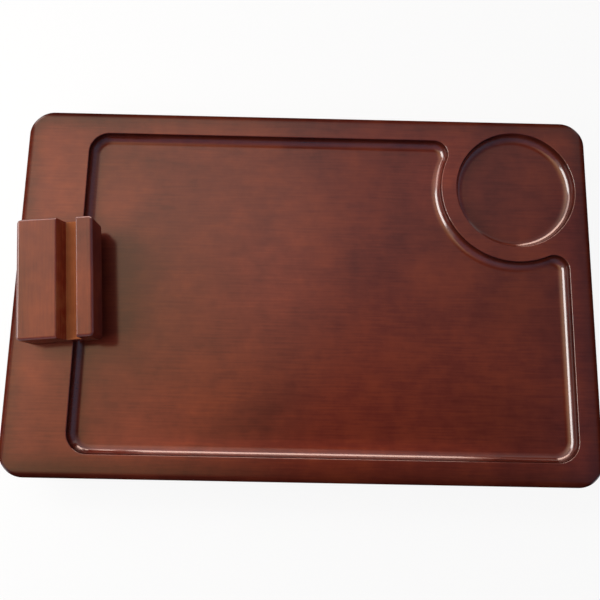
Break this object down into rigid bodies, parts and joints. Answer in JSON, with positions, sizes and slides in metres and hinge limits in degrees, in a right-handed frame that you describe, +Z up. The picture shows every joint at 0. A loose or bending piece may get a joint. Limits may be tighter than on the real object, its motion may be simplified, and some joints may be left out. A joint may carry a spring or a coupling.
{
  "type": "sofa armrest tray",
  "caption": "Wooden sofa armrest tray with a coved well, a round cup recess, a turning slotted phone block and sprung clamp panels that fold flat under the board.",
  "frame": {"origin": "middle of the footprint, on the surface that the folded clamp panels lie on", "axes": "+X along the long side towards the cup recess, +Y to the rear (the cup's side), +Z up"},
  "size_m": [0.39, 0.25, 0.0584],
  "materials": {
    "stained_wood": "mahogany stain under satin lacquer",
    "black_steel": "satin black",
    "spring_steel": "bright drawn wire",
    "zinc_steel": "bright zinc plate",
    "brass": "turned",
    "rubber": "matt, ribbed",
    "nylon": "smooth"
  },
  "bodies": {
    "board": {"tray_board": "stained_wood", "swivel_washer": "zinc_steel", "friction_washer": "nylon", "left_stop_grip": "rubber", "right_stop_grip": "rubber", "centre_grip": "rubber", "left_front_board_leaf": "black_steel", "left_rear_board_leaf": "black_steel", "right_front_board_leaf": "black_steel", "right_rear_board_leaf": "black_steel", "left_front_hinge_pin": "zinc_steel", "left_rear_hinge_pin": "zinc_steel", "right_front_hinge_pin": "zinc_steel", "right_rear_hinge_pin": "zinc_steel", "left_front_torsion_spring": "spring_steel", "left_rear_torsion_spring": "spring_steel", "right_front_torsion_spring": "spring_steel", "right_rear_torsion_spring": "spring_steel", "left_front_board_screw_1": "zinc_steel", "left_front_board_screw_2": "zinc_steel", "left_rear_board_screw_1": "zinc_steel", "left_rear_board_screw_2": "zinc_steel", "right_front_board_screw_1": "zinc_steel", "right_front_board_screw_2": "zinc_steel", "right_rear_board_screw_1": "zinc_steel", "right_rear_board_screw_2": "zinc_steel"},
    "left_clamp": {"left_clamp_panel": "stained_wood", "left_panel_grip": "rubber", "left_front_panel_leaf": "black_steel", "left_rear_panel_leaf": "black_steel", "left_front_panel_screw_1": "zinc_steel", "left_front_panel_screw_2": "zinc_steel", "left_rear_panel_screw_1": "zinc_steel", "left_rear_panel_screw_2": "zinc_steel"},
    "right_clamp": {"right_clamp_panel": "stained_wood", "right_panel_grip": "rubber", "right_front_panel_leaf": "black_steel", "right_rear_panel_leaf": "black_steel", "right_front_panel_screw_1": "zinc_steel", "right_front_panel_screw_2": "zinc_steel", "right_rear_panel_screw_1": "zinc_steel", "right_rear_panel_screw_2": "zinc_steel"},
    "phone_holder": {"phone_block": "stained_wood", "threaded_insert": "brass", "swivel_screw": "zinc_steel"}
  },
  "joints": [
    {"name": "left_clamp_fold", "type": "hinge", "parent": "board", "child": "left_clamp", "pos_m": [-0.15, 0, 0.014], "axis": [0, 1, 0], "range_deg": [0, 110], "stiffness_Nm_per_rad": 0.37, "springref_deg": -22.92, "deforming": ["left_front_torsion_spring", "left_rear_torsion_spring"]},
    {"name": "right_clamp_fold", "type": "hinge", "parent": "board", "child": "right_clamp", "pos_m": [0.15, 0, 0.014], "axis": [0, -1, 0], "range_deg": [0, 110], "stiffness_Nm_per_rad": 0.37, "springref_deg": -22.92, "deforming": ["right_front_torsion_spring", "right_rear_torsion_spring"]},
    {"name": "phone_swivel", "type": "hinge", "parent": "board", "child": "phone_holder", "pos_m": [-0.1735, 0, 0.0369], "axis": [0, 0, 1], "continuous": true}
  ]
}
